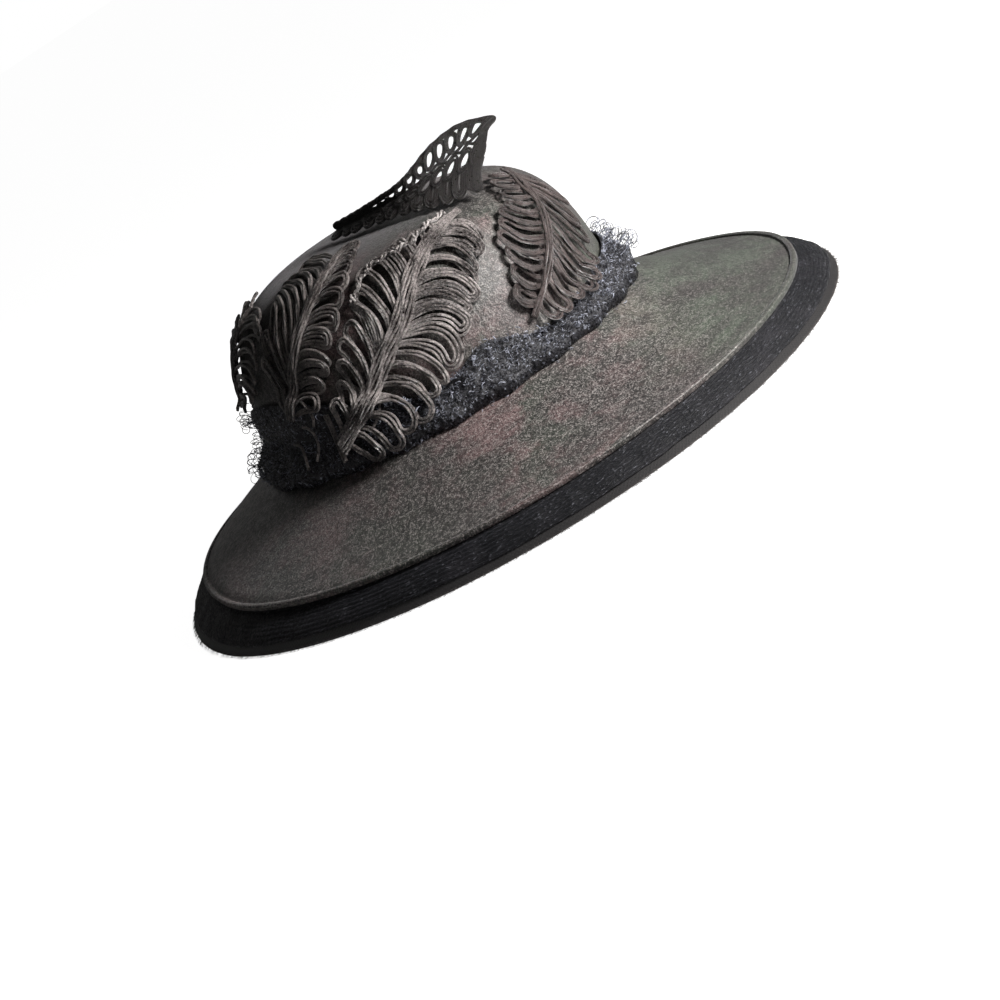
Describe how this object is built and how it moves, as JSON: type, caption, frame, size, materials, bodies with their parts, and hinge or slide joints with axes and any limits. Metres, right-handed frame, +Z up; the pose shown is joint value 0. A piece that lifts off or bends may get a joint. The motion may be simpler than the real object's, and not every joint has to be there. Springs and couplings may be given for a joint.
{
  "type": "tilt hat",
  "caption": "Wide oval hat with a rounded crown, bell-shaped brim, deep ribbon edge, gathered net band and looped-cord leaf trims.",
  "frame": {"origin": "centre of the bounding box's bottom face, on the surface that the brim's hem rests on", "axes": "+Z up through the crown, -Y towards the wearer's front, +X towards the wearer's left"},
  "size_m": [0.3489, 0.3659, 0.1514],
  "materials": {
    "crown_cloth": "fine dark straw cloth, satin",
    "brim_cloth": "fine dark straw cloth, satin",
    "edge_ribbon": "fine-ribbed black ribbon",
    "edge_braid": "sheer dark horsehair braid",
    "netting": "gathered blue-black net",
    "leaf_cord": "satin dark brown-grey cord"
  },
  "bodies": {
    "root": {"crown": "crown_cloth", "brim": "brim_cloth", "edge_ribbon": "edge_ribbon", "edge_braid": "edge_braid", "net_band": "netting", "leaf_front_right": "leaf_cord", "leaf_right": "leaf_cord", "leaf_back_right": "leaf_cord", "leaf_front_left": "leaf_cord", "leaf_crest": "leaf_cord"}
  },
  "joints": []
}
